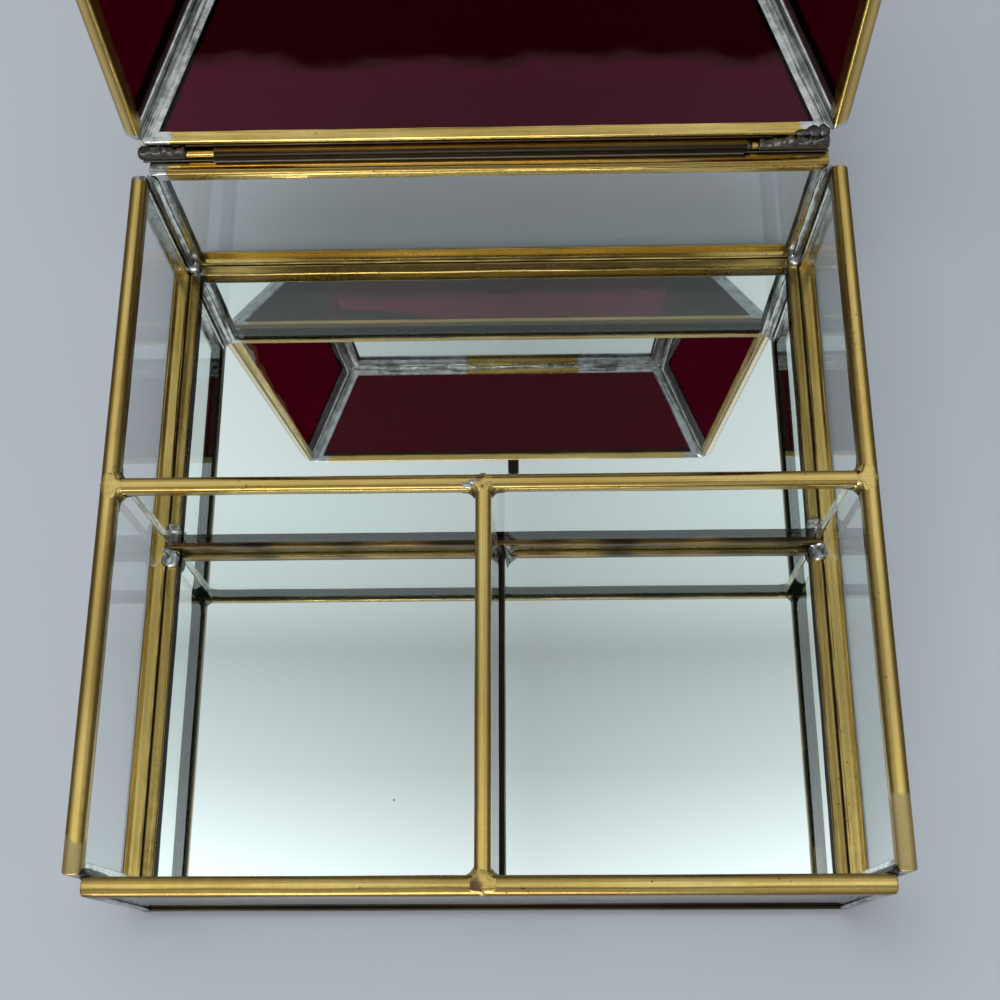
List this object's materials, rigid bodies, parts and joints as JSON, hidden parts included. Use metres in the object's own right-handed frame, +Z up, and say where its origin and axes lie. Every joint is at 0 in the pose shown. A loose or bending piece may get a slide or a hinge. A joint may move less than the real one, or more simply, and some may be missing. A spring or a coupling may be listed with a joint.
{
  "type": "glass casket box",
  "caption": "Square glass box with brass-edged clear panes, a mirror floor, a T-shaped divider and a hinged hip-roofed lid of ruby glass with a clear top.",
  "frame": {"origin": "middle of the box's underside, on the plane that it stands on", "axes": "+Z up, front of the box towards -Y, +X to the right seen from the front; the lid is drawn open"},
  "size_m": [0.1901, 0.254, 0.2492],
  "materials": {
    "brass": "aged, with bright worn edges",
    "solder": "tin solder, dull with dark residue",
    "clear_glass": "clear",
    "ruby_glass": "deep ruby, slightly wavy",
    "mirror": "silvered at its back"
  },
  "bodies": {
    "box": {"front_glass": "clear_glass", "rear_glass": "clear_glass", "left_glass": "clear_glass", "right_glass": "clear_glass", "floor_mirror": "mirror", "front_frame": "brass", "rear_frame": "brass", "left_frame": "brass", "right_frame": "brass", "floor_frame": "brass", "front_left_solder": "solder", "front_right_solder": "solder", "rear_left_solder": "solder", "rear_right_solder": "solder", "cross_divider_glass": "clear_glass", "cross_divider_top_channel": "brass", "cross_divider_bottom_channel": "brass", "mid_divider_glass": "clear_glass", "mid_divider_top_channel": "brass", "mid_divider_bottom_channel": "brass", "divider_top_solder": "brass", "divider_floor_solder": "solder", "hinge_tube": "brass", "hinge_tube_solder": "solder"},
    "lid": {"lid_front_glass": "ruby_glass", "lid_rear_glass": "ruby_glass", "lid_left_glass": "ruby_glass", "lid_right_glass": "ruby_glass", "lid_top_glass": "clear_glass", "lid_front_frame": "brass", "lid_rear_frame": "brass", "lid_left_frame": "brass", "lid_right_frame": "brass", "lid_top_frame": "brass", "lid_front_left_hip_solder": "solder", "lid_front_right_hip_solder": "solder", "lid_rear_left_hip_solder": "solder", "lid_rear_right_hip_solder": "solder", "lid_top_solder": "solder", "hinge_rod": "brass", "hinge_rod_left_solder": "solder", "hinge_rod_right_solder": "solder", "lift_tab": "brass"}
  },
  "joints": [
    {"name": "lid_hinge", "type": "hinge", "parent": "box", "child": "lid", "pos_m": [-0.002, 0.09573, 0.0531], "axis": [1, 0, 0], "range_deg": [0, 98]}
  ]
}
